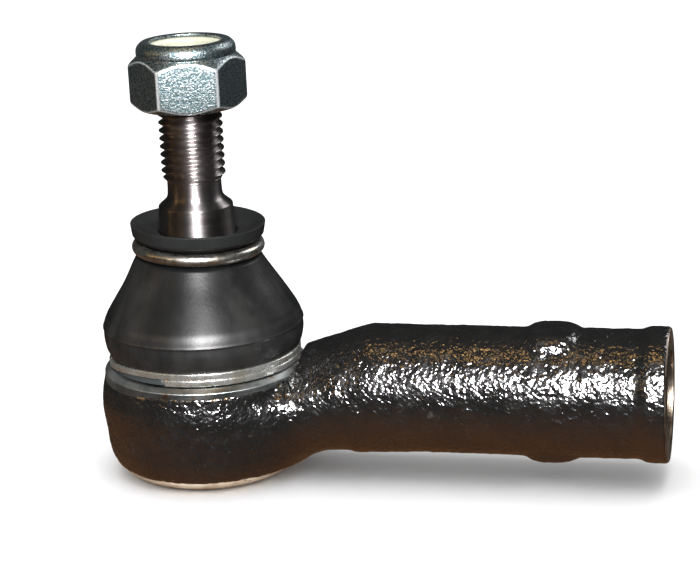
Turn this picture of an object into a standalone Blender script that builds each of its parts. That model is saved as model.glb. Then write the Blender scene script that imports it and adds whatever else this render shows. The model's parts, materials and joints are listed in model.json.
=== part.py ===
"""Outer tie rod end: forged housing, ball stud, dust boot with two rings, lock nut."""

import math

import bmesh
import bpy
from mathutils import Matrix
from mathutils import Vector

MM = 0.001
FINE_MERGE = 0.00001

# Socket end of the housing, measured from the centre of its base
SOCKET_STEPS = 44
BALL_CENTRE_Z = 14.0
RIM_Z = 20.9
RIM_R = 19.15
WIDEST_R = 19.9
COLLAR_TOP_Z = 23.4
COLLAR_R = 15.4
BASE_R = 15.8
BASE_HOLE_R = 12.2
PLATE_POCKET_R = 14.2
ROLLED_LIP = 1.2
CAVITY_R = 13.0
OPENING_R = 10.0
OPENING_LOW_Z = 20.6
OPENING_TOP_Z = 21.4
FUNNEL_R = 12.6
PLATE_POCKET_TOP_Z = 2.55
EDGE_BREAK = 0.3
CUTTER_RUN = 1.0
SMOOTH_ANGLE = math.radians(30.0)

# Shank along +X
SHANK_R = 11.88
SHANK_Z = 16.06
SHANK_END_X = 87.5
END_COLLAR_R = 12.5
END_COLLAR_LENGTH = 3.9
END_RAMP = 1.5
NECK_END_X = 32.0
SHANK_SIDES = 36
BORE_R = 7.25
BORE_MOUTH_R = 8.3
BORE_DEPTH = 46.0
DRILL_TIP = 4.3
BORE_SIDES = 28

# Wrench pads on the top and the bottom of the shank
PAD_X = 66.2
PAD_HEIGHT = 12.2
PAD_TOP_R = 4.0
PAD_FOOT_R = 5.7
PAD_EDGE = 0.9
PAD_SIDE = 2.2
PAD_ROOT = 3.6
PAD_WIDTH_FACTOR = 1.2
PAD_STEPS = 20

# Ball stud
STUD_STEPS = 32
BALL_R = 11.0
BALL_FLAT_R = 4.8
BALL_ARC_POINTS = 10
NECK_R = 5.6
CONE_LOW_Z = 34.0
CONE_LOW_R = 7.95
CONE_TOP_Z = 51.3
CONE_TOP_R = 6.87
UNDERCUT_R = 5.03
UNDERCUT_LOW_Z = 53.2
THREAD_LOW_Z = 57.0
THREAD_R = 5.95
TIP_Z = 77.5
TIP_CHAMFER = 1.2

# Seats, spring and closing plate
SEAT_GAP = 0.25
SEAT_SPLIT_HALF = 0.3
SEAT_TOP_Z = 20.3
LOWER_SEAT_Z = 3.6
LOWER_SEAT_HOLE_R = 5.2
SEAT_ARC_POINTS = 6
SPRING_OUTER_R = 11.8
SPRING_INNER_R = 5.6
SPRING_THICK = 0.5
SPRING_LOW_Z = 2.6
SPRING_RISE = 0.4
PLATE_R = 14.0
PLATE_LOW_Z = 1.35
PLATE_THICK = 1.1
PLATE_BOSS_R = 10.4

# Boot and its rings
LIP_R = 12.62
LIP_TOP_Z = 48.0
LIP_LOW_Z = 45.4
UPPER_RING_Z = 43.2
UPPER_RING_R = 11.15
UPPER_WIRE_R = 1.1
RING_GROOVE_R = 9.85
BOOT_GAP = 0.15
BOOT_FOOT_GAP = 0.25
BOOT_FOOT_R = 17.3
BOOT_CURVE_POINTS = 6
LOWER_RING_R = 17.9
LOWER_RING_Z = 21.15
LOWER_WIRE_WIDE = 0.9
LOWER_WIRE_TALL = 1.15
LOWER_RING_PITCH = 1.25
LOWER_RING_TURNS = 1.93
LOWER_RING_START = -98.5
LOWER_RING_SEGMENTS = 40
CLIMB_START = 0.8
CLIMB_END = 0.97
RING_SIDES = 8

# Lock nut
NUT_LOW_Z = 69.55
NUT_ACROSS_FLATS = 19.0
NUT_HEX_TOP_Z = 79.1
NUT_TOP_Z = 81.9
NUT_CHAMFER_R = 9.2
NUT_COLLAR_R = 9.15
NUT_COLLAR_ROOT = 2.0
NUT_BORE_R = 6.1
NUT_LEAD_IN = 0.7
NUT_FLAT_ANGLE = -74.0
NUT_STEPS = 32
INSERT_POCKET_R = 8.1
INSERT_POCKET_Z = 78.1
INSERT_R = 7.95
INSERT_LOW_Z = 78.25
INSERT_TOP_Z = 81.25
RIM_HOLE_R = 6.6
POCKET_GAP = 0.15

CHAMFER_SLOPE = math.tan(math.radians(30.0))


def clear_scene():
    for obj in list(bpy.data.objects):
        bpy.data.objects.remove(obj, do_unlink=True)
    for group in list(bpy.data.collections):
        bpy.data.collections.remove(group)


def make_collections():
    parts = bpy.data.collections.new("tie_rod_end")
    cutters = bpy.data.collections.new("cutters")
    bpy.context.scene.collection.children.link(parts)
    bpy.context.scene.collection.children.link(cutters)
    return parts, cutters


def make_ball_centre(parts):
    """Empty on the tilt axis and the spin axis, which carries all that moves with the stud."""
    empty = bpy.data.objects.new("ball_centre", None)
    empty.empty_display_size = BALL_R * MM
    empty.location = (0.0, 0.0, BALL_CENTRE_Z * MM)
    parts.objects.link(empty)
    return empty


def hang_from(obj, empty):
    obj.parent = empty
    obj.location.z -= BALL_CENTRE_Z * MM


def make_material(name, colour, metallic, roughness):
    material = bpy.data.materials.new(name)
    material.use_nodes = True
    shader = material.node_tree.nodes["Principled BSDF"]
    shader.inputs["Base Color"].default_value = (colour[0], colour[1], colour[2], 1.0)
    shader.inputs["Metallic"].default_value = metallic
    shader.inputs["Roughness"].default_value = roughness
    return material


def add_object(name, mesh, group, material=None):
    obj = bpy.data.objects.new(name, mesh)
    group.objects.link(obj)
    if material is not None:
        mesh.materials.append(material)
    return obj


def hide_cutter(obj):
    obj.hide_render = True
    obj.display_type = "WIRE"


def turned(name, outline, steps, group, material=None, closed=True):
    """Spin an outline of (radius, height) pairs in millimetres about local Z."""
    mesh = bpy.data.meshes.new(name)
    points = [(r * MM, 0.0, z * MM) for r, z in outline]
    count = len(points)
    edges = [(i, i + 1) for i in range(count - 1)]
    if closed:
        edges.append((count - 1, 0))
    mesh.from_pydata(points, edges, [])
    obj = add_object(name, mesh, group, material)
    screw = obj.modifiers.new("turn", "SCREW")
    screw.axis = "Z"
    screw.steps = steps
    screw.render_steps = steps
    screw.use_merge_vertices = True
    screw.merge_threshold = FINE_MERGE
    screw.use_smooth_shade = True
    return obj


def along_shank(obj):
    obj.rotation_euler = (0.0, math.radians(90.0), 0.0)
    obj.location = (0.0, 0.0, SHANK_Z * MM)
    return obj


def shade_round(mesh):
    mesh.shade_smooth()
    mesh.set_sharp_from_angle(angle=SMOOTH_ANGLE)


def combine(target, tool, operation):
    modifier = target.modifiers.new(operation.lower() + "_" + tool.name, "BOOLEAN")
    modifier.operation = operation
    modifier.solver = "EXACT"
    modifier.object = tool


def arc(centre_z, radius, start_deg, end_deg, count):
    """Points on a circle about (0, centre_z); 0 degrees is outwards, 90 is up."""
    points = []
    for i in range(count):
        angle = math.radians(start_deg + (end_deg - start_deg) * i / (count - 1))
        points.append((radius * math.cos(angle), centre_z + radius * math.sin(angle)))
    return points


def angle_at_height(radius, height):
    return math.degrees(math.asin(height / radius))


def bend(start, corner, end, count):
    """Points on the curve that leaves start towards corner and comes in to end."""
    points = []
    for i in range(count):
        t = i / (count - 1)
        r = start[0] * (1 - t) ** 2 + corner[0] * 2 * t * (1 - t) + end[0] * t ** 2
        z = start[1] * (1 - t) ** 2 + corner[1] * 2 * t * (1 - t) + end[1] * t ** 2
        points.append((r, z))
    return points


def lofted(name, sections, sides, group, material=None):
    """Skin oval sections (x, centre z, half height, half width) into one solid."""
    mesh = bpy.data.meshes.new(name)
    bm = bmesh.new()
    rings = []
    flat_below = Matrix.Rotation(math.pi / sides, 4, "Z")
    for x, centre_z, half_height, half_width in sections:
        ring = bmesh.ops.create_circle(bm, cap_ends=False, segments=sides, radius=1.0)
        verts = ring["verts"]
        shape = Matrix.Diagonal(Vector((half_height * MM, half_width * MM, 1.0, 1.0)))
        turn = Matrix.Rotation(math.radians(90.0), 4, "Y")
        place = Matrix.Translation(Vector((x * MM, 0.0, centre_z * MM)))
        bmesh.ops.transform(bm, matrix=place @ turn @ shape @ flat_below, verts=verts)
        rings.append(verts)
    for low, high in zip(rings[:-1], rings[1:]):
        low_edges = ring_edges(low)
        high_edges = ring_edges(high)
        bmesh.ops.bridge_loops(bm, edges=low_edges + high_edges)
    bmesh.ops.contextual_create(bm, geom=ring_edges(rings[0]))
    bmesh.ops.contextual_create(bm, geom=ring_edges(rings[-1]))
    bmesh.ops.recalc_face_normals(bm, faces=bm.faces)
    bm.to_mesh(mesh)
    bm.free()
    shade_round(mesh)
    return add_object(name, mesh, group, material)


def ring_edges(verts):
    members = set(verts)
    edges = set()
    for vert in verts:
        for edge in vert.link_edges:
            if edge.other_vert(vert) in members:
                edges.add(edge)
    return list(edges)


def socket_outline():
    flank = bend((19.55, 18.5), (WIDEST_R + 0.35, 13.0), (19.15, 4.6), 4)
    foot = bend((19.15, 4.6), (18.7, 2.2), (17.2, 1.5), 3)
    top = [
        (0.0, COLLAR_TOP_Z),
        (COLLAR_R - EDGE_BREAK, COLLAR_TOP_Z),
        (COLLAR_R, COLLAR_TOP_Z - EDGE_BREAK),
        (COLLAR_R, RIM_Z),
        (RIM_R - EDGE_BREAK, RIM_Z),
        (RIM_R, RIM_Z - EDGE_BREAK),
        (RIM_R, 19.1),
    ]
    base = [
        (BASE_R + 0.8, 0.5),
        (BASE_R, 0.0),
        (0.0, 0.0),
    ]
    return top + flank + foot[1:] + base


def shank_sections():
    """Oval sections (x, centre z, half height, half width) from inside the socket to the end."""
    end = SHANK_END_X
    collar = end - END_COLLAR_LENGTH
    end_r = END_COLLAR_R - EDGE_BREAK
    return [
        (8.0, 11.6, 9.2, 14.5),
        (15.0, 12.1, 10.0, 13.6),
        (19.0, 12.95, 10.55, 12.4),
        (22.4, 14.2, 10.5, 11.6),
        (26.0, 15.07, 10.93, 11.4),
        (29.0, 15.6, 11.45, 11.6),
        (NECK_END_X, SHANK_Z, SHANK_R, SHANK_R),
        (collar - END_RAMP, SHANK_Z, SHANK_R, SHANK_R),
        (collar, SHANK_Z, END_COLLAR_R, END_COLLAR_R),
        (end - EDGE_BREAK, SHANK_Z, END_COLLAR_R, END_COLLAR_R),
        (end, SHANK_Z, end_r, end_r),
    ]


def pad_outline():
    return [
        (0.0, PAD_HEIGHT),
        (PAD_TOP_R, PAD_HEIGHT),
        (PAD_FOOT_R - 0.7, PAD_HEIGHT - PAD_EDGE),
        (PAD_FOOT_R, PAD_HEIGHT - PAD_SIDE),
        (PAD_FOOT_R + 0.2, PAD_HEIGHT - PAD_ROOT),
        (0.0, PAD_HEIGHT - PAD_ROOT),
    ]


def place_pad(obj, turn_deg):
    obj.scale = (1.0, PAD_WIDTH_FACTOR, 1.0)
    obj.rotation_euler = (math.radians(turn_deg), 0.0, 0.0)
    obj.location = (PAD_X * MM, 0.0, SHANK_Z * MM)


def cavity_outline():
    """Ball cup, plate pocket below it and the funnel that the stud swings in."""
    dome_top = angle_at_height(CAVITY_R, OPENING_LOW_Z - BALL_CENTRE_Z)
    dome = arc(BALL_CENTRE_Z, CAVITY_R, 0.0, dome_top, SEAT_ARC_POINTS)
    upward = [
        (0.0, -CUTTER_RUN),
        (BASE_HOLE_R, -CUTTER_RUN),
        (BASE_HOLE_R, ROLLED_LIP),
        (PLATE_POCKET_R, ROLLED_LIP),
        (PLATE_POCKET_R, PLATE_POCKET_TOP_Z),
        (CAVITY_R, PLATE_POCKET_TOP_Z),
    ]
    mouth = [
        (OPENING_R, OPENING_LOW_Z),
        (OPENING_R, OPENING_TOP_Z),
        (FUNNEL_R, COLLAR_TOP_Z),
        (FUNNEL_R, COLLAR_TOP_Z + CUTTER_RUN),
        (0.0, COLLAR_TOP_Z + CUTTER_RUN),
    ]
    return list(reversed(upward + dome + mouth))


def bore_outline():
    end = SHANK_END_X
    return [
        (0.0, end + CUTTER_RUN),
        (BORE_MOUTH_R + CUTTER_RUN, end + CUTTER_RUN),
        (BORE_MOUTH_R, end),
        (BORE_R, end - (BORE_MOUTH_R - BORE_R)),
        (BORE_R, end - BORE_DEPTH),
        (0.0, end - BORE_DEPTH - DRILL_TIP),
    ]


def rim_clearance_outline():
    """Turned recess around the collar that the boot and its ring stand in."""
    return [
        (COLLAR_R + 0.02, COLLAR_TOP_Z + 6.0),
        (RIM_R + 0.1, COLLAR_TOP_Z + 6.0),
        (RIM_R + 0.1, RIM_Z + 0.02),
        (COLLAR_R + 0.02, RIM_Z + 0.02),
    ]


def make_housing(parts, cutters, material):
    shank = lofted("housing", shank_sections(), SHANK_SIDES, parts, material)
    recess = turned("rim_recess", rim_clearance_outline(), SOCKET_STEPS, cutters)
    socket = turned("socket_body", socket_outline(), SOCKET_STEPS, cutters, None, False)
    top_pad = turned("pad_top", pad_outline(), PAD_STEPS, cutters, None, False)
    low_pad = turned("pad_low", pad_outline(), PAD_STEPS, cutters, None, False)
    cavity = turned("socket_cavity", cavity_outline(), SOCKET_STEPS, cutters, None, False)
    bore = turned("shank_bore", bore_outline(), BORE_SIDES, cutters, None, False)
    place_pad(top_pad, 0.0)
    place_pad(low_pad, 180.0)
    along_shank(bore)
    for round_piece in (recess, socket, cavity):
        round_piece.rotation_euler = (0.0, 0.0, math.pi / SOCKET_STEPS)
    combine(shank, recess, "DIFFERENCE")
    combine(shank, socket, "UNION")
    combine(shank, top_pad, "UNION")
    combine(shank, low_pad, "UNION")
    combine(shank, cavity, "DIFFERENCE")
    combine(shank, bore, "DIFFERENCE")
    for cutter in (recess, socket, top_pad, low_pad, cavity, bore):
        hide_cutter(cutter)
    return shank


def stud_outline():
    neck_angle = 90.0 - math.degrees(math.asin(NECK_R / BALL_R))
    flat_angle = -math.degrees(math.acos(BALL_FLAT_R / BALL_R))
    ball = arc(BALL_CENTRE_Z, BALL_R, neck_angle, flat_angle, BALL_ARC_POINTS)
    upper = [
        (0.0, TIP_Z),
        (THREAD_R - TIP_CHAMFER, TIP_Z),
        (THREAD_R, TIP_Z - TIP_CHAMFER),
        (THREAD_R, THREAD_LOW_Z + 0.6),
        (UNDERCUT_R, THREAD_LOW_Z - 0.4),
        (UNDERCUT_R, UNDERCUT_LOW_Z),
        (UNDERCUT_R + 0.5, UNDERCUT_LOW_Z - 1.2),
        (CONE_TOP_R, CONE_TOP_Z),
        (CONE_LOW_R, CONE_LOW_Z),
        (NECK_R + 1.4, CONE_LOW_Z - 2.2),
        (NECK_R, CONE_LOW_Z - 5.5),
    ]
    low = [(0.0, BALL_CENTRE_Z - math.sqrt(BALL_R ** 2 - BALL_FLAT_R ** 2))]
    return upper + ball + low


def make_stud(parts, material):
    return turned("ball_stud", stud_outline(), STUD_STEPS, parts, material, False)


def make_upper_seat(parts, material):
    inner_r = BALL_R + SEAT_GAP
    outer_r = CAVITY_R - SEAT_GAP
    low = SEAT_SPLIT_HALF
    high = SEAT_TOP_Z - BALL_CENTRE_Z
    outer_arc = arc(
        BALL_CENTRE_Z,
        outer_r,
        angle_at_height(outer_r, high),
        angle_at_height(outer_r, low),
        SEAT_ARC_POINTS,
    )
    inner_arc = arc(
        BALL_CENTRE_Z,
        inner_r,
        angle_at_height(inner_r, low),
        angle_at_height(inner_r, high),
        SEAT_ARC_POINTS,
    )
    return turned("upper_ball_seat", outer_arc + inner_arc, STUD_STEPS, parts, material)


def make_lower_seat(parts, material):
    inner_r = BALL_R + SEAT_GAP
    outer_r = CAVITY_R - SEAT_GAP
    top = BALL_CENTRE_Z - SEAT_SPLIT_HALF
    low_angle = -math.degrees(math.acos(LOWER_SEAT_HOLE_R / inner_r))
    inner_arc = arc(
        BALL_CENTRE_Z,
        inner_r,
        low_angle,
        angle_at_height(inner_r, -SEAT_SPLIT_HALF),
        SEAT_ARC_POINTS,
    )
    outline = [
        (outer_r, top),
        (outer_r, LOWER_SEAT_Z + 0.5),
        (outer_r - 0.5, LOWER_SEAT_Z),
        (LOWER_SEAT_HOLE_R, LOWER_SEAT_Z),
    ]
    return turned("lower_ball_seat", outline + inner_arc, STUD_STEPS, parts, material)


def make_spring(parts, material):
    outline = [
        (SPRING_INNER_R, SPRING_LOW_Z + SPRING_RISE + SPRING_THICK),
        (SPRING_OUTER_R, SPRING_LOW_Z + SPRING_THICK),
        (SPRING_OUTER_R, SPRING_LOW_Z),
        (SPRING_INNER_R, SPRING_LOW_Z + SPRING_RISE),
    ]
    return turned("preload_spring", outline, STUD_STEPS, parts, material)


def make_closing_plate(parts, material):
    outline = [
        (0.0, PLATE_THICK),
        (PLATE_BOSS_R - 0.4, PLATE_THICK),
        (PLATE_BOSS_R + 0.9, PLATE_LOW_Z + PLATE_THICK),
        (PLATE_R, PLATE_LOW_Z + PLATE_THICK),
        (PLATE_R, PLATE_LOW_Z),
        (PLATE_BOSS_R + 1.3, PLATE_LOW_Z),
        (PLATE_BOSS_R, 0.0),
        (0.0, 0.0),
    ]
    return turned("closing_plate", outline, STUD_STEPS, parts, material, False)


def cone_radius(height):
    share = (height - CONE_LOW_Z) / (CONE_TOP_Z - CONE_LOW_Z)
    return CONE_LOW_R + (CONE_TOP_R - CONE_LOW_R) * share


def boot_outline():
    """Lip, ring groove, outer wall down to the foot, then the inner wall back up."""
    foot_z = RIM_Z + BOOT_FOOT_GAP
    inner_foot_r = COLLAR_R + 0.2
    lip = [
        (cone_radius(LIP_TOP_Z) + BOOT_GAP, LIP_TOP_Z - 1.1),
        (LIP_R - 0.7, LIP_TOP_Z - 0.1),
        (LIP_R, LIP_TOP_Z - 0.4),
        (LIP_R, LIP_LOW_Z + EDGE_BREAK),
        (LIP_R - 0.5, LIP_LOW_Z),
        (RING_GROOVE_R + 0.5, LIP_LOW_Z - 0.6),
    ]
    groove = [
        (RING_GROOVE_R, UPPER_RING_Z + 0.8),
        (RING_GROOVE_R, UPPER_RING_Z - 0.9),
        (RING_GROOVE_R + 0.7, UPPER_RING_Z - 1.7),
        (11.95, 41.2),
    ]
    shoulder = bend((15.0, 35.5), (19.15, 29.6), (18.7, 25.8), BOOT_CURVE_POINTS)
    foot = [
        (18.2, 24.2),
        (BOOT_FOOT_R, 23.9),
        (BOOT_FOOT_R, foot_z),
        (inner_foot_r, foot_z),
        (inner_foot_r, 23.7),
    ]
    inner_wall = bend((16.4, 24.6), (18.0, 28.4), (12.4, 36.5), BOOT_CURVE_POINTS)
    throat = [
        (10.4, 39.9),
        (8.6, 41.0),
        (cone_radius(41.6) + BOOT_GAP, 41.6),
    ]
    return lip + groove + shoulder + foot + inner_wall + throat


def make_boot(parts, material):
    return turned("dust_boot", boot_outline(), STUD_STEPS, parts, material)


def make_upper_ring(parts, material):
    bpy.ops.mesh.primitive_torus_add(
        major_segments=STUD_STEPS,
        minor_segments=RING_SIDES,
        major_radius=UPPER_RING_R * MM,
        minor_radius=UPPER_WIRE_R * MM,
        location=(0.0, 0.0, UPPER_RING_Z * MM),
    )
    ring = bpy.context.object
    ring.name = "boot_upper_ring"
    ring.data.name = "boot_upper_ring"
    ring.data.materials.append(material)
    ring.data.shade_smooth()
    for group in list(ring.users_collection):
        group.objects.unlink(ring)
    parts.objects.link(ring)
    return ring


def wound_rise(turn):
    """The wire lies flat, then climbs over its own start by one pitch."""
    share = (turn - CLIMB_START) / (CLIMB_END - CLIMB_START)
    share = max(0.0, min(1.0, share))
    return share * share * (3.0 - 2.0 * share)


def make_lower_ring(parts, cutters, material):
    """Flat wire wound twice round the foot of the boot."""
    half_wide = LOWER_WIRE_WIDE * MM / 2.0
    half_tall = LOWER_WIRE_TALL * MM / 2.0
    section_curve = bpy.data.curves.new("flat_wire_section", "CURVE")
    section_curve.dimensions = "2D"
    corners = [
        (half_wide, half_tall),
        (half_wide, -half_tall),
        (-half_wide, -half_tall),
        (-half_wide, half_tall),
    ]
    add_poly(section_curve, [(x, y, 0.0) for x, y in corners], True)
    section = add_object("flat_wire_section", section_curve, cutters)
    hide_cutter(section)
    path = bpy.data.curves.new("boot_lower_ring", "CURVE")
    path.dimensions = "3D"
    path.twist_mode = "Z_UP"
    path.bevel_mode = "OBJECT"
    path.bevel_object = section
    path.use_fill_caps = True
    points = []
    steps = int(LOWER_RING_SEGMENTS * LOWER_RING_TURNS)
    for i in range(steps + 1):
        turn = LOWER_RING_TURNS * i / steps
        angle = math.radians(LOWER_RING_START) + 2.0 * math.pi * turn
        height = LOWER_RING_Z + LOWER_WIRE_TALL / 2.0 + LOWER_RING_PITCH * wound_rise(turn)
        x = LOWER_RING_R * MM * math.cos(angle)
        y = LOWER_RING_R * MM * math.sin(angle)
        points.append((x, y, height * MM))
    add_poly(path, points, False)
    return add_object("boot_lower_ring", path, parts, material)


def add_poly(curve, points, cyclic):
    spline = curve.splines.new("POLY")
    spline.points.add(len(points) - 1)
    for point, place in zip(spline.points, points):
        point.co = (place[0], place[1], place[2], 1.0)
    spline.use_cyclic_u = cyclic


def nut_envelope(corner_r):
    """Turned envelope that chamfers the corners of the hexagon at both ends."""
    reach = corner_r + CUTTER_RUN
    drop = (reach - NUT_CHAMFER_R) * CHAMFER_SLOPE
    return [
        (0.0, NUT_HEX_TOP_Z),
        (NUT_CHAMFER_R, NUT_HEX_TOP_Z),
        (reach, NUT_HEX_TOP_Z - drop),
        (reach, NUT_LOW_Z + drop),
        (NUT_CHAMFER_R, NUT_LOW_Z),
        (0.0, NUT_LOW_Z),
    ]


def nut_collar_outline():
    shoulder = bend(
        (NUT_COLLAR_R, NUT_TOP_Z - 1.6),
        (NUT_COLLAR_R, NUT_TOP_Z),
        (RIM_HOLE_R + 0.5, NUT_TOP_Z),
        4,
    )
    root = [
        (NUT_COLLAR_R, NUT_HEX_TOP_Z - NUT_COLLAR_ROOT),
        (0.0, NUT_HEX_TOP_Z - NUT_COLLAR_ROOT),
    ]
    return [(0.0, NUT_TOP_Z)] + list(reversed(shoulder)) + root


def nut_bore_outline():
    """Hole through the crimped lip, pocket for the insert, thread bore and lead-in."""
    pocket_top = INSERT_TOP_Z + POCKET_GAP
    lead_r = NUT_BORE_R + NUT_LEAD_IN
    return [
        (0.0, NUT_TOP_Z + CUTTER_RUN),
        (RIM_HOLE_R, NUT_TOP_Z + CUTTER_RUN),
        (RIM_HOLE_R, pocket_top),
        (INSERT_POCKET_R, pocket_top),
        (INSERT_POCKET_R, INSERT_POCKET_Z),
        (NUT_BORE_R, INSERT_POCKET_Z),
        (NUT_BORE_R, NUT_LOW_Z + NUT_LEAD_IN),
        (lead_r, NUT_LOW_Z),
        (lead_r, NUT_LOW_Z - CUTTER_RUN),
        (0.0, NUT_LOW_Z - CUTTER_RUN),
    ]


def make_nut(parts, cutters, material):
    mesh = bpy.data.meshes.new("lock_nut")
    bm = bmesh.new()
    corner_r = NUT_ACROSS_FLATS / 2.0 / math.cos(math.radians(30.0))
    height = NUT_HEX_TOP_Z - NUT_LOW_Z
    turn = Matrix.Rotation(math.radians(NUT_FLAT_ANGLE), 4, "Z")
    lift = Matrix.Translation(Vector((0.0, 0.0, (NUT_LOW_Z + height / 2.0) * MM)))
    bmesh.ops.create_cone(
        bm,
        cap_ends=True,
        segments=6,
        radius1=corner_r * MM,
        radius2=corner_r * MM,
        depth=height * MM,
        matrix=lift @ turn,
    )
    bm.to_mesh(mesh)
    bm.free()
    shade_round(mesh)
    nut = add_object("lock_nut", mesh, parts, material)
    envelope = turned("nut_chamfer", nut_envelope(corner_r), NUT_STEPS, cutters, None, False)
    crimp = turned("nut_collar", nut_collar_outline(), NUT_STEPS, cutters, None, False)
    bore = turned("nut_bore", nut_bore_outline(), NUT_STEPS, cutters, None, False)
    combine(nut, envelope, "INTERSECT")
    combine(nut, crimp, "UNION")
    combine(nut, bore, "DIFFERENCE")
    for cutter in (envelope, crimp, bore):
        hide_cutter(cutter)
    return nut


def make_insert(parts, material):
    outline = [
        (NUT_BORE_R + EDGE_BREAK, INSERT_TOP_Z),
        (INSERT_R, INSERT_TOP_Z),
        (INSERT_R, INSERT_LOW_Z),
        (NUT_BORE_R, INSERT_LOW_Z),
        (NUT_BORE_R, INSERT_TOP_Z - EDGE_BREAK),
    ]
    return turned("nylon_insert", outline, NUT_STEPS, parts, material)


def build():
    clear_scene()
    parts, cutters = make_collections()
    painted = make_material("black_painted_forging", (0.012, 0.012, 0.012), 0.0, 0.28)
    burnished = make_material("burnished_stud_steel", (0.30, 0.27, 0.25), 1.0, 0.25)
    acetal = make_material("white_acetal_seat", (0.78, 0.77, 0.72), 0.0, 0.45)
    acetal_low = make_material("white_acetal_cup", (0.74, 0.73, 0.68), 0.0, 0.45)
    spring_steel = make_material("spring_steel", (0.35, 0.35, 0.36), 1.0, 0.35)
    plate_steel = make_material("pressed_steel_plate", (0.42, 0.41, 0.40), 1.0, 0.4)
    rubber = make_material("black_rubber", (0.018, 0.018, 0.019), 0.0, 0.55)
    bronze_wire = make_material("tempered_ring_wire", (0.45, 0.38, 0.28), 1.0, 0.25)
    flat_wire = make_material("bright_flat_wire", (0.62, 0.62, 0.62), 1.0, 0.28)
    zinc = make_material("zinc_plated_steel", (0.62, 0.66, 0.70), 1.0, 0.32)
    nylon = make_material("pale_nylon", (0.72, 0.78, 0.62), 0.0, 0.4)
    ball_centre = make_ball_centre(parts)
    make_housing(parts, cutters, painted)
    stud = make_stud(parts, burnished)
    make_upper_seat(parts, acetal)
    make_lower_seat(parts, acetal_low)
    make_spring(parts, spring_steel)
    make_closing_plate(parts, plate_steel)
    make_boot(parts, rubber)
    upper_ring = make_upper_ring(parts, bronze_wire)
    make_lower_ring(parts, cutters, flat_wire)
    nut = make_nut(parts, cutters, zinc)
    insert = make_insert(parts, nylon)
    for piece in (stud, upper_ring, nut, insert):
        hang_from(piece, ball_centre)


build()
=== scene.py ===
import json
import math

import bmesh
import bpy
import numpy as np
from mathutils import Matrix, Vector, noise


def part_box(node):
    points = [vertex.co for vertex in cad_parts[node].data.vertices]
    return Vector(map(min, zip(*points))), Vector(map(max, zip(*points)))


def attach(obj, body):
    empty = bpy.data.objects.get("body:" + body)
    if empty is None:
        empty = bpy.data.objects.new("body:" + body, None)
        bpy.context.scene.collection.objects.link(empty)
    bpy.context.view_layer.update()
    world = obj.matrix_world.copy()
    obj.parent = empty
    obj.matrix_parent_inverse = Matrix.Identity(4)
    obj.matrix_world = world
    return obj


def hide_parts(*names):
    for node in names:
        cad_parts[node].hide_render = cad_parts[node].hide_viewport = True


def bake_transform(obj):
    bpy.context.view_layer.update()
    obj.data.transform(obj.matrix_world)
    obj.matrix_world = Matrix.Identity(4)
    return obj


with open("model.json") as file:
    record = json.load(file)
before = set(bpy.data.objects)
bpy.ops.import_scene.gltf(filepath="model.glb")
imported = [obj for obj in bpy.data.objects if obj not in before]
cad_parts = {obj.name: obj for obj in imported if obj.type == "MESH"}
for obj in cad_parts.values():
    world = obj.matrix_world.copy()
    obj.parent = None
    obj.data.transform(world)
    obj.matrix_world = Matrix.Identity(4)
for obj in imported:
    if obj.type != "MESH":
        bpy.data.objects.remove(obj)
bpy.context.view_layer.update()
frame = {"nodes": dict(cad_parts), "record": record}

MM = 0.001


def top_of(node):
    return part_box(node)[1][2] / MM


def foot_of(node):
    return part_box(node)[0][2] / MM


def mount_place(name):
    for mount in frame["record"]["mounts"]:
        if mount["name"] == name:
            return [value / MM for value in mount["pos_m"]]
    raise ValueError(name)


# Driving sizes in millimetres, read from the frame where it states them
PAD_TOP = mount_place("wrench_pad_top")
PAD_LOW = mount_place("wrench_pad_bottom")
SHANK_END = mount_place("shank_end_face")[0]
NUT_LOW = foot_of("lock_nut")
NUT_TOP = top_of("lock_nut")
STUD_TOP = top_of("ball_stud")
BOOT_FOOT = foot_of("dust_boot")
BOOT_TOP = top_of("dust_boot")
UPPER_RING_Z = (foot_of("boot_upper_ring") + top_of("boot_upper_ring")) / 2.0
LOWER_RING_FOOT = foot_of("boot_lower_ring")
BALL_Z = 14.0
SHANK_Z = (PAD_TOP[2] + PAD_LOW[2]) / 2.0
PAD_X = PAD_TOP[0]
PAD_HEIGHT = PAD_TOP[2] - SHANK_Z
SHANK_R = 11.88
END_COLLAR_R = 12.5
RIM_Z = 20.9
RIM_R = 19.15
PAINT_TOP_Z = 19.35
PAINT_LOW_Z = 1.95
COLLAR_R = 15.4
COLLAR_TOP_Z = 23.4
BORE_MAJOR_R = 8.0
BORE_MOUTH_R = 8.3
BORE_LENGTH = 44.0
STUD_PITCH = 1.5
STUD_THREAD_START = 0.75
BORE_PITCH = 1.5

# Forging: how closely its mesh follows the shape, and its cast texture
FORGING_VOXEL = 0.34
FORGING_ROUNDS = 14
LUMP_SIZE = 4.5
LUMP_HEIGHT = 0.09
PEBBLE_SIZE = 0.95
PEBBLE_HEIGHT = 0.05
END_MARGIN = 0.6

# Thread form, as shares of the pitch
CREST_SHARE = 0.08
ROOT_SHARE = 0.86
BORE_THREAD_DEPTH = 0.92
BORE_WALL = 0.7
BORE_RUN_OUT = 6.0

# Ball stud
BALL_R = 11.0
BALL_FLAT_R = 4.8
NECK_R = 5.6
CONE_LOW_R = 7.95
UNDERCUT_R = 5.03
STUD_BLANK_R = 5.93
STUD_MAJOR_R = 5.98
STUD_THREAD_DEPTH = 0.9
STUD_FINE_LOW_Z = 55.7
STUD_THREAD_LOW_Z = 55.9

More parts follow.
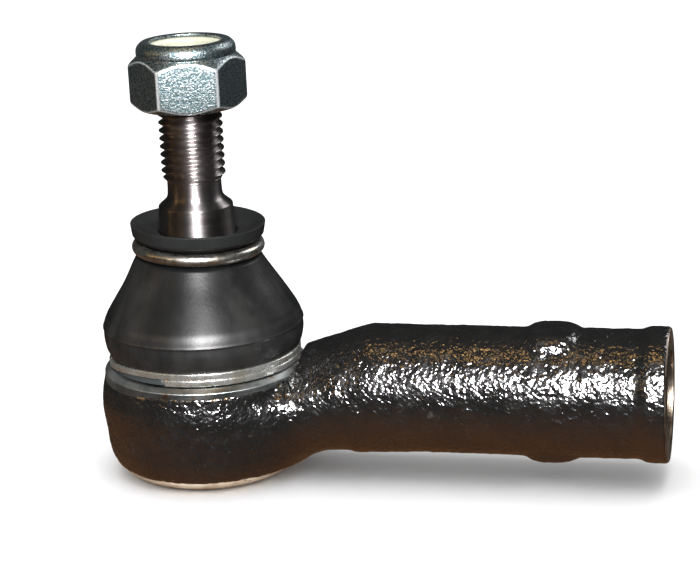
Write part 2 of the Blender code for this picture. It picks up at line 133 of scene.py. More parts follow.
# Lock nut and its insert
NUT_FLAT_ANGLE = math.radians(-74.0)
NUT_FLAT_R = 9.5
NUT_CORNER_EASE = 0.8
NUT_CHAMFER = math.radians(38.0)
NUT_CHAMFER_R = 9.15
NUT_COLLAR_HEIGHT = 2.75
NUT_BORE_R = 6.05
NUT_POCKET_R = 8.1
NUT_POCKET_DEPTH = 3.8
NUT_RIM_HOLE_R = 6.6
INSERT_R = 7.95
INSERT_BORE_R = 6.02
INSERT_DEPTH = 3.65
# Width of the painted edge highlight along the nut's rounded borders, in millimetres
EDGE_HIGHLIGHT_WIDTH = 0.1

# Boot and its wires
LIP_TILT = math.radians(2.2)
LEAN_LOW_Z = 35.0
BOOT_CREASE_Z = 28.4
BOOT_GROOVE_R = 10.08
BOOT_FOOT_R = 17.3
BOOT_INNER_R = 15.6
SWELL_HEIGHT = 0.09
SWELL_LOW_Z = 24.0
SWELL_TOP_Z = 41.0
SWELL_FADE = 3.0
SINGLE_WIRE_START = math.radians(188.0)
SINGLE_WIRE_END = math.radians(261.0)
SINGLE_WIRE_FADE = 0.03
FOOT_STEP = 0.5
UPPER_WIRE_RING_R = 11.3
UPPER_WIRE_R = 1.12
LOWER_WIRE_RING_R = 17.72
LOWER_WIRE_WIDE = 0.95
LOWER_WIRE_TALL = 1.2
LOWER_WIRE_PITCH = 1.25
LOWER_WIRE_TURNS = 1.795
LOWER_WIRE_START = math.radians(-98.5)


# ---------------------------------------------------------------- mesh helpers


def put_in_scene(name, data):
    obj = bpy.data.objects.new(name, data)
    bpy.context.scene.collection.objects.link(obj)
    return obj


def vertex_places(mesh):
    """The mesh's vertices as rows of x, y, z in millimetres."""
    flat = np.empty(len(mesh.vertices) * 3, np.float32)
    mesh.vertices.foreach_get("co", flat)
    return flat.reshape(-1, 3).astype(float) / MM


def move_vertices(mesh, points):
    mesh.vertices.foreach_set("co", (points * MM).astype(np.float32).ravel())


def eased(share):
    """A share from 0 to 1 with a smooth start and end."""
    return share * share * (3.0 - 2.0 * share)


def outward_from(turn):
    """Unit vectors away from the Z axis, one for each turn."""
    return np.stack([np.cos(turn), np.sin(turn), np.zeros(len(turn))], -1)


def set_radius(points, radius, turn):
    """Move a spun grid's points in or out to the radius."""
    points[..., 0] = radius * np.cos(turn)[None, :]
    points[..., 1] = radius * np.sin(turn)[None, :]


def grid_faces(rows, cols, wrap_rows, wrap_cols):
    """Quads over a grid of points stored row by row."""
    last_row = rows if wrap_rows else rows - 1
    last_col = cols if wrap_cols else cols - 1
    i, j = np.meshgrid(np.arange(last_row), np.arange(last_col), indexing="ij")
    next_i = (i + 1) % rows
    next_j = (j + 1) % cols
    quads = np.stack(
        [i * cols + j, i * cols + next_j, next_i * cols + next_j, next_i * cols + j], -1
    )
    return quads.reshape(-1, 4).tolist()


def add_piece(name, points, faces, material, sharp_deg=40.0, edge_highlight=None):
    """A mesh object from points in millimetres, with an optional value at each point for a
    painted edge highlight.
    """
    mesh = bpy.data.meshes.new(name)
    mesh.from_pydata((np.asarray(points) * MM).tolist(), [], faces)
    if edge_highlight is not None:
        mesh.attributes.new("edge_highlight", "FLOAT", "POINT").data.foreach_set("value", edge_highlight)
    bm = bmesh.new()
    bm.from_mesh(mesh)
    bmesh.ops.remove_doubles(bm, verts=bm.verts, dist=2e-6)
    bmesh.ops.dissolve_degenerate(bm, edges=bm.edges, dist=1e-7)
    bmesh.ops.recalc_face_normals(bm, faces=bm.faces)
    bm.to_mesh(mesh)
    bm.free()
    mesh.shade_smooth()
    mesh.set_sharp_from_angle(angle=math.radians(sharp_deg))
    mesh.materials.append(material)
    return put_in_scene(name, mesh)


def filleted(outline, closed=True, segments=5):
    """An outline of (radius, height, fillet) with its corners rounded by fillet."""
    corners = [np.array(p[:2], float) for p in outline]
    sizes = [p[2] if len(p) > 2 else 0.0 for p in outline]
    count = len(corners)
    result = []
    for i, corner in enumerate(corners):
        at_end = not closed and i in (0, count - 1)
        if at_end or sizes[i] <= 0.0:
            result.append(corner)
            continue
        before = corners[i - 1] - corner
        after = corners[(i + 1) % count] - corner
        reach_before = np.linalg.norm(before)
        reach_after = np.linalg.norm(after)
        reach = min(sizes[i], 0.48 * reach_before, 0.48 * reach_after)
        start = corner + before / reach_before * reach
        end = corner + after / reach_after * reach
        for k in range(segments + 1):
            t = k / segments
            result.append(start * (1 - t) ** 2 + corner * 2 * t * (1 - t) + end * t**2)
    return np.array(result)


def resampled(points, spacing, closed=False):
    """Extra points along the long stretches of an outline."""
    result = []
    count = len(points)
    last = count if closed else count - 1
    for i in range(last):
        a = points[i]
        b = points[(i + 1) % count]
        steps = max(1, int(np.linalg.norm(b - a) / spacing))
        for k in range(steps):
            result.append(a + (b - a) * k / steps)
    if not closed:
        result.append(points[-1])
    return np.array(result)


def spun_points(outline, steps):
    """Grid of points, one row for each outline point, one column for each step."""
    turn = np.linspace(0.0, 2.0 * math.pi, steps, endpoint=False)
    radius = outline[:, 0][:, None]
    height = outline[:, 1][:, None]
    x = radius * np.cos(turn)[None, :]
    y = radius * np.sin(turn)[None, :]
    z = np.repeat(height, steps, axis=1)
    return np.stack([x, y, z], -1), turn


def turned_piece(name, outline, steps, material, closed=True, sharp_deg=40.0):
    points, _ = spun_points(outline, steps)
    faces = grid_faces(len(outline), steps, closed, True)
    return add_piece(name, points.reshape(-1, 3), faces, material, sharp_deg)


def point_along_x(obj):
    """Turn a piece made about Z so that it lies along the shank's axis."""
    turn = Matrix.Rotation(math.radians(90.0), 4, "Y")
    lift = Matrix.Translation((0.0, 0.0, SHANK_Z * MM))
    obj.data.transform(lift @ turn)


def fractal(points, wavelength, octaves, seed):
    """Noise between about -1 and 1 at each point (in millimetres)."""
    shift = Vector((seed * 17.3, seed * 5.1, seed * 9.7))
    values = np.empty(len(points))
    for i, p in enumerate(points):
        place = Vector(p) / wavelength + shift
        values[i] = noise.fractal(place, 0.6, 2.0, octaves, noise_basis="PERLIN_ORIGINAL")
    return values


# ------------------------------------------------------------- material helpers


class Graph:
    """Short calls for building one material's nodes."""

    def __init__(self, name):
        self.material = bpy.data.materials.new(name)
        self.material.use_nodes = True
        self.nodes = self.material.node_tree.nodes
        self.links = self.material.node_tree.links
        self.shader = self.nodes["Principled BSDF"]
        coordinates = self.nodes.new("ShaderNodeTexCoord")
        scale = self.nodes.new("ShaderNodeVectorMath")
        scale.operation = "SCALE"
        scale.inputs["Scale"].default_value = 1.0 / MM
        self.links.new(coordinates.outputs["Object"], scale.inputs[0])
        self.place = scale.outputs[0]

    def set(self, **values):
        """Values that are the same all over, set on the shader's own sockets."""
        names = {
            "metallic": "Metallic",
            "roughness": "Roughness",
            "coat": "Coat Weight",
            "coat_roughness": "Coat Roughness",
            "coat_ior": "Coat IOR",
            "specular": "Specular IOR Level",
            "anisotropic": "Anisotropic",
            "turned": "Anisotropic Rotation",
        }
        for key, value in values.items():
            self.shader.inputs[names[key]].default_value = value

    def feed(self, output, socket):
        self.links.new(output, self.shader.inputs[socket])

    def stretched(self, x, y, z):
        node = self.nodes.new("ShaderNodeVectorMath")
        node.operation = "MULTIPLY"
        node.inputs[1].default_value = (x, y, z)
        self.links.new(self.place, node.inputs[0])
        return node.outputs[0]

    def square(self, value):
        return self.math("MULTIPLY", value, value)

    def slanted(self):
        """Places stretched along a slant in the XZ plane, for brushed strokes."""
        node = self.nodes.new("ShaderNodeMapping")
        node.vector_type = "TEXTURE"
        node.inputs["Rotation"].default_value = (0.0, math.radians(40.0), 0.0)
        node.inputs["Scale"].default_value = (6.0, 2.0, 1.0)
        self.links.new(self.place, node.inputs["Vector"])
        return node.outputs[0]

    def noise(self, wavelength, detail=3.0, rough=0.5, place=None, distortion=0.0):
        node = self.nodes.new("ShaderNodeTexNoise")
        node.inputs["Scale"].default_value = 1.0 / wavelength
        node.inputs["Detail"].default_value = detail
        node.inputs["Roughness"].default_value = rough
        node.inputs["Distortion"].default_value = distortion
        self.links.new(place or self.place, node.inputs["Vector"])
        return node.outputs["Fac"]

    def cells(self, wavelength):
        """Distance to the nearest of many scattered points."""
        node = self.nodes.new("ShaderNodeTexVoronoi")
        node.feature = "F1"
        node.inputs["Scale"].default_value = 1.0 / wavelength
        self.links.new(self.place, node.inputs["Vector"])
        return node.outputs["Distance"]

    def remap(self, value, low, high, to_low=0.0, to_high=1.0):
        """Smooth step from to_low at low to to_high at high."""
        node = self.nodes.new("ShaderNodeMapRange")
        node.interpolation_type = "SMOOTHSTEP"
        node.inputs["From Min"].default_value = low
        node.inputs["From Max"].default_value = high
        node.inputs["To Min"].default_value = to_low
        node.inputs["To Max"].default_value = to_high
        self.links.new(value, node.inputs["Value"])
        return node.outputs["Result"]

    def math(self, operation, a, b):
        node = self.nodes.new("ShaderNodeMath")
        node.operation = operation
        for socket, value in zip(node.inputs, (a, b)):
            if isinstance(value, (int, float)):
                socket.default_value = value
            else:
                self.links.new(value, socket)
        return node.outputs[0]

    def mix(self, factor, a, b):
        node = self.nodes.new("ShaderNodeMix")
        node.data_type = "RGBA"
        self.links.new(factor, node.inputs[0])
        for socket, value in ((node.inputs[6], a), (node.inputs[7], b)):
            if isinstance(value, tuple):
                socket.default_value = (value[0], value[1], value[2], 1.0)
            else:
                self.links.new(value, socket)
        return node.outputs[2]

    def axis(self, vector, name):
        node = self.nodes.new("ShaderNodeSeparateXYZ")
        self.links.new(vector, node.inputs[0])
        return node.outputs[name]

    def normal(self):
        return self.nodes.new("ShaderNodeNewGeometry").outputs["Normal"]

    def bump(self, height, distance, previous=None):
        """Relief of a height in millimetres, on top of a previous one."""
        node = self.nodes.new("ShaderNodeBump")
        node.inputs["Distance"].default_value = distance * MM
        node.inputs["Strength"].default_value = 1.0
        self.links.new(height, node.inputs["Height"])
        if previous is not None:
            self.links.new(previous, node.inputs["Normal"])
        return node.outputs["Normal"]

    def round_grain(self, axis):
        """Tangents run round the axis, as turning marks do."""
        node = self.nodes.new("ShaderNodeTangent")
        node.direction_type = "RADIAL"
        node.axis = axis
        self.links.new(node.outputs[0], self.shader.inputs["Tangent"])


# -------------------------------------------------------------------- materials


def painted_forging():
    g = Graph("black_paint_over_forging")
    g.set(specular=0.6, coat=1.0, coat_roughness=0.06, coat_ior=1.75)
    # Painted reflection: surfaces facing down and towards -X get a brown base colour in place of
    # a reflected brown surface below; noise patches vary its strength.
    facing = g.normal()
    lean = g.math("MULTIPLY", g.axis(facing, "X"), 0.42)
    down = g.math("ADD", g.axis(facing, "Z"), lean)
    height = g.axis(g.place, "Z")
    warm = g.remap(down, 0.1, -0.75)
    patches = g.noise(9.0, 4.0, 0.6)
    warm = g.math("MULTIPLY", warm, g.remap(patches, 0.25, 0.7, 0.55, 1.0))
    colour = g.mix(warm, (0.004, 0.0038, 0.0037), (0.017, 0.0082, 0.0043))
    chalk = g.remap(g.noise(2.6, 5.0, 0.65), 0.62, 0.76)
    chalk = g.math("MULTIPLY", chalk, g.remap(g.noise(11.0, 2.0, 0.5), 0.48, 0.62))
    colour = g.mix(g.math("MULTIPLY", chalk, 0.6), colour, (0.06, 0.058, 0.052))
    from_socket = g.math("ADD", g.square(g.axis(g.place, "X")), g.square(g.axis(g.place, "Y")))
    near_rim = g.remap(from_socket, (RIM_R + 0.75) ** 2, (RIM_R + 0.35) ** 2)
    edge = g.math("MULTIPLY", near_rim, g.remap(height, PAINT_TOP_Z - 0.9, PAINT_TOP_Z - 0.1))
    bronze = g.math("MULTIPLY", edge, g.remap(g.noise(1.8, 4.0, 0.6), 0.58, 0.63))
    colour = g.mix(bronze, colour, (0.22, 0.13, 0.055))
    g.feed(colour, "Base Color")
    rough = g.remap(g.noise(3.2, 4.0, 0.6), 0.3, 0.75, 0.16, 0.34)
    rough = g.math("ADD", rough, g.math("MULTIPLY", chalk, 0.3))
    g.feed(rough, "Roughness")
    pebbles = g.noise(0.88, 1.0, 0.4, None, 0.5)
    strokes = g.noise(0.36, 1.0, 0.5, g.slanted())
    first = g.bump(pebbles, 0.24)
    second = g.bump(strokes, 0.06, first)
    g.feed(second, "Normal")
    g.feed(second, "Coat Normal")
    return g.material


def bare_rim():
    g = Graph("machined_bare_steel")
    g.set(metallic=1.0, anisotropic=0.5)
    g.round_grain("Z")
    tone = g.noise(6.0, 4.0, 0.6)
    grooves = g.noise(0.35, 3.0, 0.6, g.stretched(0.03, 0.03, 1.0))
    colour = g.mix(g.remap(tone, 0.3, 0.7), (0.19, 0.21, 0.21), (0.32, 0.34, 0.33))
    stain = g.remap(g.noise(3.0, 5.0, 0.65), 0.55, 0.7)
    colour = g.mix(stain, colour, (0.16, 0.10, 0.055))
    g.feed(colour, "Base Color")
    g.feed(g.remap(tone, 0.25, 0.8, 0.3, 0.5), "Roughness")
    g.feed(g.bump(grooves, 0.02), "Normal")
    return g.material


def bare_base():
    g = Graph("rolled_lip_bare_steel")
    g.set(metallic=0.55)
    g.round_grain("Z")
    tone = g.noise(5.0, 4.0, 0.6)
    colour = g.mix(g.remap(tone, 0.3, 0.7), (0.44, 0.33, 0.225), (0.66, 0.56, 0.43))
    spots = g.remap(g.noise(1.4, 5.0, 0.7), 0.6, 0.72)
    colour = g.mix(spots, colour, (0.10, 0.055, 0.03))
    g.feed(colour, "Base Color")
    g.feed(g.remap(tone, 0.25, 0.8, 0.34, 0.52), "Roughness")
    grooves = g.noise(0.4, 3.0, 0.6, g.stretched(0.04, 0.04, 1.0))
    g.feed(g.bump(grooves, 0.03), "Normal")
    return g.material


def bare_end():
    g = Graph("turned_end_face_steel")
    g.set(metallic=1.0, anisotropic=0.4)
    g.round_grain("X")
    tone = g.noise(4.0, 4.0, 0.6)
    colour = g.mix(g.remap(tone, 0.3, 0.7), (0.25, 0.18, 0.125), (0.42, 0.35, 0.28))
    g.feed(colour, "Base Color")
    g.feed(g.remap(tone, 0.25, 0.8, 0.24, 0.42), "Roughness")
    rings = g.nodes.new("ShaderNodeTexWave")
    rings.wave_type = "RINGS"
    rings.rings_direction = "X"
    rings.inputs["Scale"].default_value = 1.1
    rings.inputs["Distortion"].default_value = 0.6
    shifted = g.nodes.new("ShaderNodeVectorMath")
    shifted.operation = "SUBTRACT"
    shifted.inputs[1].default_value = (0.0, 0.0, SHANK_Z)
    g.links.new(g.place, shifted.inputs[0])
    g.links.new(shifted.outputs[0], rings.inputs["Vector"])
    g.feed(g.bump(rings.outputs["Fac"], 0.02), "Normal")
    return g.material


def bore_thread_steel():
    g = Graph("cut_thread_steel")
    g.set(metallic=1.0)
    tone = g.noise(2.0, 4.0, 0.6)
    colour = g.mix(g.remap(tone, 0.3, 0.7), (0.28, 0.24, 0.20), (0.46, 0.42, 0.37))
    g.feed(colour, "Base Color")
    g.feed(g.remap(tone, 0.25, 0.8, 0.25, 0.42), "Roughness")
    return g.material


def burnished_stud():
    g = Graph("burnished_stud_steel")
    g.set(metallic=1.0, anisotropic=0.85, turned=0.25)
    g.round_grain("Z")
    tone = g.noise(5.0, 4.0, 0.6, g.stretched(1.0, 1.0, 0.5))
    colour = g.mix(g.remap(tone, 0.3, 0.7), (0.21, 0.185, 0.18), (0.36, 0.335, 0.335))
    g.feed(colour, "Base Color")
    lines = g.noise(0.22, 4.0, 0.7, g.stretched(0.02, 0.02, 1.0))
    g.feed(g.remap(lines, 0.3, 0.7, 0.3, 0.42), "Roughness")
    g.feed(g.bump(lines, 0.012), "Normal")
    return g.material


def zinc_plate():
    g = Graph("zinc_plated_steel")
    speckle = g.noise(0.34, 2.0, 0.6)
    broad = g.noise(4.0, 3.0, 0.6)
    colour = g.mix(g.remap(speckle, 0.42, 0.6), (0.085, 0.14, 0.15), (0.50, 0.56, 0.575))
    colour = g.mix(g.remap(broad, 0.45, 0.75, 0.0, 0.35), colour, (0.17, 0.24, 0.24))
    # Painted highlight: a pale colour and less metal along the hexagon's rounded borders and
    # upright edges, in place of bright edge reflections.
    attribute = g.nodes.new("ShaderNodeAttribute")
    attribute.attribute_name = "edge_highlight"
    edge_highlight = attribute.outputs["Fac"]
    colour = g.mix(g.math("MULTIPLY", edge_highlight, 0.85), colour, (0.66, 0.68, 0.69))
    g.feed(colour, "Base Color")
    g.feed(g.math("SUBTRACT", 1.0, g.math("MULTIPLY", edge_highlight, 0.22)), "Metallic")
    g.feed(g.remap(speckle, 0.3, 0.7, 0.44, 0.3), "Roughness")
    g.feed(g.bump(speckle, 0.08), "Normal")
    return g.material


def pale_nylon():
    g = Graph("pale_nylon")
    g.set(roughness=0.42)
    tone = g.noise(2.5, 3.0, 0.5)
    colour = g.mix(g.remap(tone, 0.3, 0.7), (0.225, 0.23, 0.175), (0.30, 0.305, 0.24))
    g.feed(colour, "Base Color")
    g.feed(g.bump(g.noise(0.8, 3.0, 0.5), 0.02), "Normal")
    return g.material


def boot_rubber():
    g = Graph("black_rubber")
    height = g.axis(g.place, "Z")
    g.feed(g.remap(height, 31.2, 30.2, 0.17, 0.5), "Specular IOR Level")
    cloud = g.noise(7.0, 5.0, 0.6, g.stretched(1.0, 1.0, 0.45))
    colour = g.mix(g.remap(cloud, 0.35, 0.72), (0.0045, 0.0047, 0.0047), (0.011, 0.0109, 0.0105))
    dust = g.remap(g.cells(1.25), 0.075, 0.03)
    choose = g.remap(g.noise(3.1, 2.0, 0.5), 0.57, 0.63)
    dust = g.math("MULTIPLY", dust, choose)
    colour = g.mix(g.math("MULTIPLY", dust, 0.5), colour, (0.22, 0.22, 0.21))
    lip = g.remap(height, 44.6, 45.6)
    colour = g.mix(g.math("MULTIPLY", lip, 0.6), colour, (0.0085, 0.0092, 0.0092))
    # Painted light: below about 22.3 mm the rubber foot gets a lighter blue-grey, standing in
    # for lit rubber where the wires shade it.
    foot = g.remap(height, 22.4, 22.2)
    colour = g.mix(foot, colour, (0.022, 0.026, 0.027))
    g.feed(colour, "Base Color")
    rough = g.remap(cloud, 0.3, 0.75, 0.33, 0.43)
    g.feed(g.math("ADD", rough, g.math("MULTIPLY", lip, 0.2)), "Roughness")
    grain = g.noise(0.5, 4.0, 0.6)
    g.feed(g.bump(grain, 0.02), "Normal")
    return g.material


def ring_wire():
    g = Graph("tempered_ring_wire")
    g.set(metallic=1.0)
    g.round_grain("Z")
    tone = g.noise(5.0, 3.0, 0.6)
    colour = g.mix(g.remap(tone, 0.35, 0.65), (0.46, 0.41, 0.33), (0.60, 0.60, 0.57))
    g.feed(colour, "Base Color")
    g.feed(g.remap(g.noise(1.2, 4.0, 0.6), 0.3, 0.7, 0.26, 0.36), "Roughness")
    return g.material


def flat_wire():
    g = Graph("bright_flat_wire")
    g.set(metallic=0.93)
    g.round_grain("Z")
    tone = g.noise(4.0, 3.0, 0.6)
    colour = g.mix(g.remap(tone, 0.35, 0.65), (0.60, 0.58, 0.50), (0.74, 0.75, 0.72))
    g.feed(colour, "Base Color")
    g.feed(g.remap(g.noise(1.5, 4.0, 0.6), 0.3, 0.7, 0.22, 0.34), "Roughness")
    drawn = g.noise(0.25, 2.0, 0.6, g.stretched(0.05, 0.05, 1.0))
    g.feed(g.bump(drawn, 0.008), "Normal")
    return g.material


def pressed_plate():
    g = Graph("pressed_steel_plate")
    g.set(metallic=1.0)
    tone = g.noise(4.0, 4.0, 0.6)
    colour = g.mix(g.remap(tone, 0.3, 0.7), (0.30, 0.28, 0.25), (0.45, 0.43, 0.40))
    g.feed(colour, "Base Color")
    g.feed(g.remap(tone, 0.3, 0.7, 0.32, 0.48), "Roughness")
    g.feed(g.bump(g.noise(0.6, 3.0, 0.6), 0.02), "Normal")
    return g.material


def seat_plastic():
    g = Graph("acetal_seat")
    tone = g.noise(3.0, 3.0, 0.5)
    colour = g.mix(g.remap(tone, 0.3, 0.7), (0.74, 0.73, 0.68), (0.82, 0.81, 0.77))
    g.feed(colour, "Base Color")
    g.feed(g.remap(tone, 0.3, 0.7, 0.4, 0.5), "Roughness")
    g.feed(g.bump(g.noise(0.7, 3.0, 0.5), 0.015), "Normal")
    return g.material


def spring_steel():
    g = Graph("spring_steel")
    g.set(metallic=1.0)
    tone = g.noise(3.0, 4.0, 0.6)
    colour = g.mix(g.remap(tone, 0.3, 0.7), (0.22, 0.22, 0.24), (0.34, 0.34, 0.36))
    g.feed(colour, "Base Color")
    g.feed(g.remap(tone, 0.3, 0.7, 0.3, 0.42), "Roughness")
    g.feed(g.bump(g.noise(0.5, 3.0, 0.5), 0.012), "Normal")
    return g.material


# ------------------------------------------------------------ forged housing


def smooth_min(a, b, width):
    """The smaller of two distances, with the corner between them rounded."""
    share = np.clip(0.5 + 0.5 * (b - a) / width, 0.0, 1.0)
    return b + (a - b) * share - width * share * (1.0 - share)


def smooth_max(a, b, width):
    return -smooth_min(-a, -b, width)


def outline_distance(radius, height, outline):
    """Signed distance to a closed outline in the (radius, height) plane."""
    best = np.full(radius.shape, np.inf)
    sign = np.ones(radius.shape)
    count = len(outline)
    for i in range(count):
        ax, ay = outline[i]
        bx, by = outline[i - 1]
        ex, ey = bx - ax, by - ay
        wx, wy = radius - ax, height - ay
        along = np.clip((wx * ex + wy * ey) / (ex * ex + ey * ey), 0.0, 1.0)
        dx, dy = wx - ex * along, wy - ey * along
        best = np.minimum(best, dx * dx + dy * dy)
        above = height >= ay
        below = height < by
        left = ex * wy > ey * wx
        flip = (above & below & left) | (~above & ~below & ~left)
        sign = np.where(flip, -sign, sign)
    return sign * np.sqrt(best)


SOCKET_OUTLINE = [
    (-1.0, PAINT_TOP_Z),
    (19.1, PAINT_TOP_Z),
    (19.3, 18.9),
    (19.5, 17.9),
    (19.8, 16.3),
    (20.0, 14.8),
    (19.98, 13.4),
    (19.65, 9.5),
    (19.25, 5.6),
    (18.9, 4.2),
    (18.3, 2.9),
    (17.5, PAINT_LOW_Z),
    (-1.0, PAINT_LOW_Z),
]

# Along the shank: x, height of the under side, height of the top, half width
SHANK_STATIONS = [
    (4.0, 2.4, 19.5, 14.2),
    (12.0, 2.3, 21.2, 13.7),
    (17.0, 2.5, 22.9, 13.1),
    (20.5, 3.3, 24.05, 12.7),
    (24.0, 3.95, 25.25, 12.4),
    (28.2, 4.15, 26.7, 12.15),
    (29.6, 3.6, 27.2, 12.1),
    (32.2, 3.75, 27.98, 12.05),
    (43.0, SHANK_Z - SHANK_R, SHANK_Z + SHANK_R, SHANK_R),
    (82.3, SHANK_Z - SHANK_R, SHANK_Z + SHANK_R, SHANK_R),
    (83.7, SHANK_Z - END_COLLAR_R, SHANK_Z + END_COLLAR_R, END_COLLAR_R),
    (95.0, SHANK_Z - END_COLLAR_R, SHANK_Z + END_COLLAR_R, END_COLLAR_R),
]


def smoothed_station(x, column):
    """A station value at x, with the corners between stations eased."""
    xs = [row[0] for row in SHANK_STATIONS]
    values = [row[column] for row in SHANK_STATIONS]
    reach = 0.55
    total = np.zeros_like(x)
    offsets = (-1.0, -0.5, 0.0, 0.5, 1.0)
    for offset in offsets:
        total += np.interp(x + offset * reach, xs, values)
    return total / len(offsets)


def shank_distance(x, y, z):
    low = smoothed_station(x, 1)
    high = smoothed_station(x, 2)
    half_width = smoothed_station(x, 3)
    centre = (low + high) / 2.0
    half_height = (high - low) / 2.0
    oval = np.sqrt((y / half_width) ** 2 + ((z - centre) / half_height) ** 2)
    shank = (oval - 1.0) * np.minimum(half_width, half_height)
    return np.maximum(shank, 2.0 - x)


def pad_distance(x, y, z):
    """The two wrench pads, wider at the foot than at the face."""
    out = np.abs(z - SHANK_Z)
    pad_radius = np.interp(out, [9.4, 10.6, 11.5, PAD_HEIGHT], [5.9, 5.6, 5.0, 4.1])
    from_pad = (np.abs(x - PAD_X) ** 3 + np.abs(y / 1.2) ** 3) ** (1.0 / 3.0)
    return smooth_max((from_pad - pad_radius) * 0.75, out - PAD_HEIGHT, 0.3)


def forging_distance(p):
    """Distance to the painted forging, negative inside it."""
    x, y, z = p[:, 0], p[:, 1], p[:, 2]
    radius = np.hypot(x, y)
    socket = outline_distance(radius, z, SOCKET_OUTLINE)
    blend = np.interp(z, [11.0, 16.0, 18.6], [5.0, 4.0, 0.9])
    body = smooth_min(socket, shank_distance(x, y, z), blend)
    body = smooth_min(body, pad_distance(x, y, z), 0.7)
    paint_line = PAINT_TOP_Z + np.clip(0.1 * (x + 3.0), -1.7, 0.2)
    clearance = np.interp(z, [PAINT_TOP_Z, 21.4, 23.1], [RIM_R + 0.12, 20.3, 19.4])
    recess = np.maximum(radius - clearance, paint_line - z)
    body = smooth_max(body, -recess, 0.3)
    body = smooth_max(body, PAINT_LOW_Z - z, 0.3)
    body = smooth_max(body, x - (SHANK_END - 0.12), 0.5)
    from_axis = np.hypot(y, z - SHANK_Z)
    bore = np.maximum(from_axis - (BORE_MAJOR_R + 0.9), 40.0 - x)
    return smooth_max(body, -bore, 0.2)


def slope_of(p):
    """Gradient of the forging's distance."""
    step = 0.02
    gradient = np.empty_like(p)
    for axis in range(3):
        shift = np.zeros(3)
        shift[axis] = step
        change = forging_distance(p + shift) - forging_distance(p - shift)
        gradient[:, axis] = change / (2.0 * step)
    return gradient


def rough_forging():
    """Overlapping solids close to the forging, merged by a remesh."""
    bm = bmesh.new()
    # Middle x, y and z, radius, length and axis of each
    parts = [
        (0.0, 0.0, 10.2, 19.4, 17.2, "Z"),
        (17.0, 0.0, 10.6, 8.6, 16.0, "X"),
        (26.0, 0.0, 14.0, 10.3, 12.8, "X"),
        (59.0, 0.0, SHANK_Z, SHANK_R, 56.0, "X"),
        (85.5, 0.0, SHANK_Z, END_COLLAR_R, 3.7, "X"),
        (PAD_X, 0.0, SHANK_Z, 4.6, 2.0 * PAD_HEIGHT, "Z"),
    ]
    for x, y, z, radius, depth, axis in parts:
        turn = Matrix.Rotation(math.radians(90.0), 4, "Y") if axis == "X" else Matrix()
        place = Matrix.Translation((x * MM, y * MM, z * MM))
        bmesh.ops.create_cone(
            bm,
            cap_ends=True,
            segments=64,
            radius1=radius * MM,
            radius2=radius * MM,
            depth=depth * MM,
            matrix=place @ turn,
        )
    mesh = bpy.data.meshes.new("forging_rough")
    bm.to_mesh(mesh)
    bm.free()
    obj = put_in_scene("forging_rough", mesh)
    remesh = obj.modifiers.new("remesh", "REMESH")
    remesh.mode = "VOXEL"
    remesh.voxel_size = FORGING_VOXEL * MM
    depsgraph = bpy.context.evaluated_depsgraph_get()
    made = bpy.data.meshes.new_from_object(obj.evaluated_get(depsgraph))
    bpy.data.objects.remove(obj, do_unlink=True)
    return made


def make_forging(material):
    """The rough mesh drawn onto the forging's surface, then roughened."""
    mesh = rough_forging()
    p = vertex_places(mesh)
    for _ in range(FORGING_ROUNDS):
        value = forging_distance(p)
        gradient = slope_of(p)
        size = np.maximum((gradient**2).sum(1), 0.25)
        step = np.clip(value / size, -1.0, 1.0)
        p -= gradient * step[:, None]
    gradient = slope_of(p)
    normal = gradient / np.maximum(np.linalg.norm(gradient, axis=1), 1e-6)[:, None]
    lumps = fractal(p, LUMP_SIZE, 3, 1.0)
    pebbles = fractal(p, PEBBLE_SIZE, 2, 2.0)
    height = LUMP_HEIGHT * lumps + PEBBLE_HEIGHT * pebbles
    off_end = np.clip((SHANK_END - END_MARGIN - p[:, 0]) / END_MARGIN, 0.0, 1.0)
    p += normal * (height * off_end)[:, None]
    move_vertices(mesh, p)
    mesh.materials.clear()
    mesh.materials.append(material)
    mesh.shade_smooth()
    mesh.name = "forged_body"
    return put_in_scene("forged_body", mesh)


def make_rim(material):
    outline = filleted(
        [
            (12.6, COLLAR_TOP_Z, 0.15),
            (COLLAR_R, COLLAR_TOP_Z, 0.3),
            (COLLAR_R, RIM_Z, 0.2),
            (18.2, RIM_Z, 0.2),
            (RIM_R, RIM_Z - 0.85, 0.16),
            (RIM_R, 16.8),
            (12.6, 16.8),
        ]
    )
    return turned_piece("machined_rim", outline, 160, material)


def make_base(material):
    outline = filleted(
        [
            (17.35, 2.8),
            (17.35, 1.75, 0.4),
            (16.5, 0.75, 0.5),
            (15.2, 0.0, 0.6),
            (12.7, 0.0, 0.5),
            (12.2, 0.5, 0.3),
            (12.2, 1.2),
            (14.25, 1.22),
            (14.25, 2.8),
        ]
    )
    return turned_piece("rolled_lip", outline, 160, material)


def thread_share(place, pitch):
    """0 on the thread's crest, 1 at its root, at a place along the axis."""
    phase = np.mod(place / pitch, 1.0)
    from_crest = 2.0 * np.abs(phase - 0.5)
    return np.clip((from_crest - CREST_SHARE) / (ROOT_SHARE - CREST_SHARE), 0.0, 1.0)


